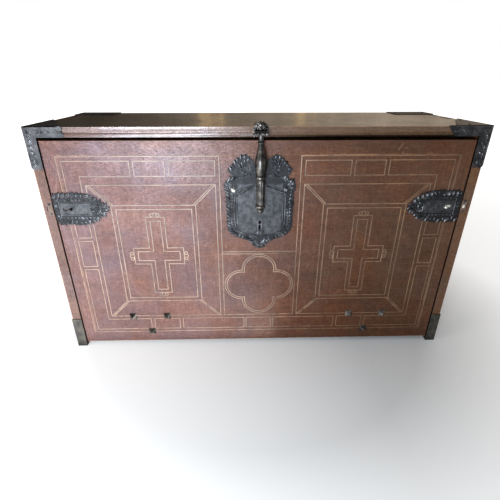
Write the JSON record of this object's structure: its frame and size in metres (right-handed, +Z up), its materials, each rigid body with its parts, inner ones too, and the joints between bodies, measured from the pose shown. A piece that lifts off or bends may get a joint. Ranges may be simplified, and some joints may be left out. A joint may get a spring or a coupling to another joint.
{
  "type": "fall-front writing chest",
  "caption": "Oblong walnut writing chest whose inlaid front falls forward over a nest of drawers and a cupboard, with iron lock, hasp, slide latches, corner irons and side handles.",
  "frame": {"origin": "on the floor under the middle of the chest, halfway between the hasp and the back", "axes": "+Z up, the front faces -Y, +X to the right as one faces the front"},
  "size_m": [1.087, 0.3815, 0.621],
  "materials": {
    "walnut_case": "old waxed walnut, brown with a soft sheen",
    "walnut_front": "old waxed walnut, reddish brown",
    "walnut_inside": "oiled walnut, less worn",
    "boxwood": "light boxwood inlay, waxed with the ground",
    "wrought_iron": "dark wrought iron, blued and worn bright on edges",
    "worn_iron": "handled wrought iron, polished by use"
  },
  "bodies": {
    "case": {"back_board": "walnut_case", "back_corner_irons": "wrought_iron", "bottom_board": "walnut_case", "bottom_left_corner_iron": "wrought_iron", "bottom_right_corner_iron": "wrought_iron", "case_nails": "wrought_iron", "gallery_base": "walnut_inside", "gallery_cornice": "walnut_inside", "gallery_shelves_left": "walnut_inside", "gallery_shelves_middle": "walnut_inside", "gallery_shelves_right": "walnut_inside", "gallery_upright_left": "walnut_inside", "gallery_upright_right": "walnut_inside", "hasp_bracket": "wrought_iron", "hasp_pin": "worn_iron", "hinge_pins": "worn_iron", "latch_keepers": "wrought_iron", "left_handle_plate": "wrought_iron", "left_hinge_floor_leaf": "wrought_iron", "left_side_board": "walnut_case", "right_handle_plate": "wrought_iron", "right_hinge_floor_leaf": "wrought_iron", "right_side_board": "walnut_case", "top_board": "walnut_case", "top_left_corner_iron": "wrought_iron", "top_right_corner_iron": "wrought_iron"},
    "fall_front": {"front_panel": "walnut_front", "front_border_top": "walnut_front", "front_border_bottom": "walnut_front", "front_border_left": "walnut_front", "front_border_right": "walnut_front", "front_stringing": "boxwood", "left_hinge_front_leaf": "wrought_iron", "right_hinge_front_leaf": "wrought_iron", "hinge_nails": "wrought_iron", "front_nails": "wrought_iron", "lock_plate": "wrought_iron", "lock_case": "wrought_iron", "left_latch_plate": "wrought_iron", "right_latch_plate": "wrought_iron"},
    "hasp": {"hasp": "worn_iron", "hasp_staple": "worn_iron"},
    "lock_bolt": {"lock_bolt": "worn_iron"},
    "left_latch": {"left_latch_bolt": "worn_iron"},
    "right_latch": {"right_latch_bolt": "worn_iron"},
    "left_handle": {"left_handle": "worn_iron"},
    "right_handle": {"right_handle": "worn_iron"},
    "drawer_bottom_left": {"drawer_bottom_left": "walnut_inside"},
    "drawer_bottom_middle": {"drawer_bottom_middle": "walnut_inside"},
    "drawer_bottom_right": {"drawer_bottom_right": "walnut_inside"},
    "drawer_lower_left": {"drawer_lower_left": "walnut_inside"},
    "drawer_lower_right": {"drawer_lower_right": "walnut_inside"},
    "drawer_top_left": {"drawer_top_left": "walnut_inside"},
    "drawer_top_right": {"drawer_top_right": "walnut_inside"},
    "drawer_upper_left": {"drawer_upper_left": "walnut_inside"},
    "drawer_upper_right": {"drawer_upper_right": "walnut_inside"},
    "cupboard_door": {"cupboard_door": "walnut_inside"}
  },
  "joints": [
    {"name": "fall_front_hinge", "type": "hinge", "parent": "case", "child": "fall_front", "pos_m": [0, -0.13225, 0.0415], "axis": [1, 0, 0], "range_deg": [0, 90]},
    {"name": "hasp_hinge", "type": "hinge", "parent": "case", "child": "hasp", "pos_m": [0, -0.17675, 0.595], "axis": [-1, 0, 0], "range_deg": [0, 140]},
    {"name": "lock_bolt_slide", "type": "slide", "parent": "fall_front", "child": "lock_bolt", "axis": [1, 0, 0], "range_m": [0, 0.014]},
    {"name": "left_latch_slide", "type": "slide", "parent": "fall_front", "child": "left_latch", "axis": [-1, 0, 0], "range_m": [0, 0.014]},
    {"name": "right_latch_slide", "type": "slide", "parent": "fall_front", "child": "right_latch", "axis": [1, 0, 0], "range_m": [0, 0.014]},
    {"name": "left_handle_hinge", "type": "hinge", "parent": "case", "child": "left_handle", "pos_m": [-0.535, 0.01575, 0.395], "axis": [0, 1, 0], "range_deg": [0, 95]},
    {"name": "right_handle_hinge", "type": "hinge", "parent": "case", "child": "right_handle", "pos_m": [0.535, 0.01575, 0.395], "axis": [0, -1, 0], "range_deg": [0, 95]},
    {"name": "drawer_bottom_left_slide", "type": "slide", "parent": "case", "child": "drawer_bottom_left", "axis": [0, -1, 0], "range_m": [0, 0.085]},
    {"name": "drawer_bottom_middle_slide", "type": "slide", "parent": "case", "child": "drawer_bottom_middle", "axis": [0, -1, 0], "range_m": [0, 0.085]},
    {"name": "drawer_bottom_right_slide", "type": "slide", "parent": "case", "child": "drawer_bottom_right", "axis": [0, -1, 0], "range_m": [0, 0.085]},
    {"name": "drawer_lower_left_slide", "type": "slide", "parent": "case", "child": "drawer_lower_left", "axis": [0, -1, 0], "range_m": [0, 0.18]},
    {"name": "drawer_lower_right_slide", "type": "slide", "parent": "case", "child": "drawer_lower_right", "axis": [0, -1, 0], "range_m": [0, 0.18]},
    {"name": "drawer_top_left_slide", "type": "slide", "parent": "case", "child": "drawer_top_left", "axis": [0, -1, 0], "range_m": [0, 0.18]},
    {"name": "drawer_top_right_slide", "type": "slide", "parent": "case", "child": "drawer_top_right", "axis": [0, -1, 0], "range_m": [0, 0.18]},
    {"name": "drawer_upper_left_slide", "type": "slide", "parent": "case", "child": "drawer_upper_left", "axis": [0, -1, 0], "range_m": [0, 0.18]},
    {"name": "drawer_upper_right_slide", "type": "slide", "parent": "case", "child": "drawer_upper_right", "axis": [0, -1, 0], "range_m": [0, 0.18]},
    {"name": "cupboard_door_hinge", "type": "hinge", "parent": "case", "child": "cupboard_door", "pos_m": [-0.107, -0.07025, 0.28], "axis": [0, 0, -1], "range_deg": [0, 90]}
  ],
  "couplings": [
    {"joint": "drawer_bottom_left_slide", "follows": "fall_front_hinge", "m_per_rad": 0.054112},
    {"joint": "drawer_bottom_middle_slide", "follows": "fall_front_hinge", "m_per_rad": 0.054112},
    {"joint": "drawer_bottom_right_slide", "follows": "fall_front_hinge", "m_per_rad": 0.054112},
    {"joint": "drawer_lower_left_slide", "follows": "fall_front_hinge", "m_per_rad": 0.11459},
    {"joint": "drawer_lower_right_slide", "follows": "fall_front_hinge", "m_per_rad": 0.11459},
    {"joint": "drawer_top_left_slide", "follows": "fall_front_hinge", "m_per_rad": 0.11459},
    {"joint": "drawer_top_right_slide", "follows": "fall_front_hinge", "m_per_rad": 0.11459},
    {"joint": "drawer_upper_left_slide", "follows": "fall_front_hinge", "m_per_rad": 0.11459},
    {"joint": "drawer_upper_right_slide", "follows": "fall_front_hinge", "m_per_rad": 0.11459},
    {"joint": "cupboard_door_hinge", "follows": "fall_front_hinge", "ratio": 1}
  ]
}
